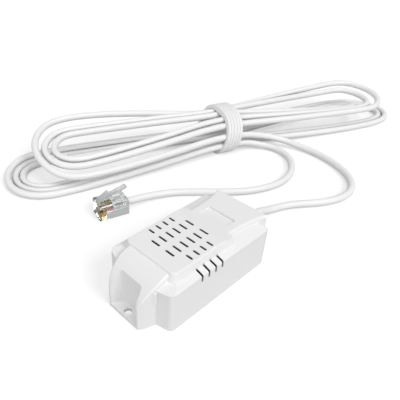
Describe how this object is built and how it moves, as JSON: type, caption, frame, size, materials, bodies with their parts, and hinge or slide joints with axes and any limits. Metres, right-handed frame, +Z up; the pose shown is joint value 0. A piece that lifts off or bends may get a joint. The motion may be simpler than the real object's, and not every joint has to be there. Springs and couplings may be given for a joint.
{
  "type": "temperature sensor",
  "caption": "Wall-mount temperature probe in a slotted housing with a screw ear, on a long cord that is coiled, tied and ends in a clear modular plug.",
  "frame": {"origin": "middle of the housing's footprint, on the plane of its back", "axes": "+X from the screw ear towards the cord outlet, +Z up out of the slotted top, +Y towards the coiled cord"},
  "size_m": [0.2099, 0.1171, 0.0198],
  "materials": {
    "housing": "satin",
    "board": "satin",
    "chip": "matte",
    "tinned": "bright",
    "ceramic": "matte",
    "jacket": "satin",
    "tie": "satin",
    "wire_red": "satin",
    "wire_green": "satin",
    "wire_yellow": "satin",
    "wire_black": "satin",
    "clear": "clear",
    "gold": "bright"
  },
  "bodies": {
    "sensor": {"front_cover": "housing", "back_plate": "housing", "circuit_board": "board", "sensing_chip": "chip", "sensing_chip_legs": "tinned", "chip_capacitor": "ceramic", "pull_up_resistor": "chip", "inner_wire_red": "wire_red", "inner_wire_green": "wire_green", "inner_wire_yellow": "wire_yellow", "inner_wire_black": "wire_black", "cord_stub": "jacket", "cord_anchor_tie": "tie", "cord_lead": "jacket", "cord_hank": "jacket", "cord_tail": "jacket", "hank_tie": "tie", "plug_body": "clear", "plug_contacts": "gold", "plug_wire_red": "wire_red", "plug_wire_green": "wire_green", "plug_wire_yellow": "wire_yellow", "plug_wire_black": "wire_black", "plug_strain_bar": "clear"},
    "latch": {"plug_latch": "clear"}
  },
  "joints": [
    {"name": "latch_press", "type": "hinge", "parent": "sensor", "child": "latch", "pos_m": [-0.00149, 0.04563, 0.00605], "axis": [0.2807, 0.9598, 0], "range_deg": [0, 12], "stiffness_Nm_per_rad": 0.02}
  ]
}
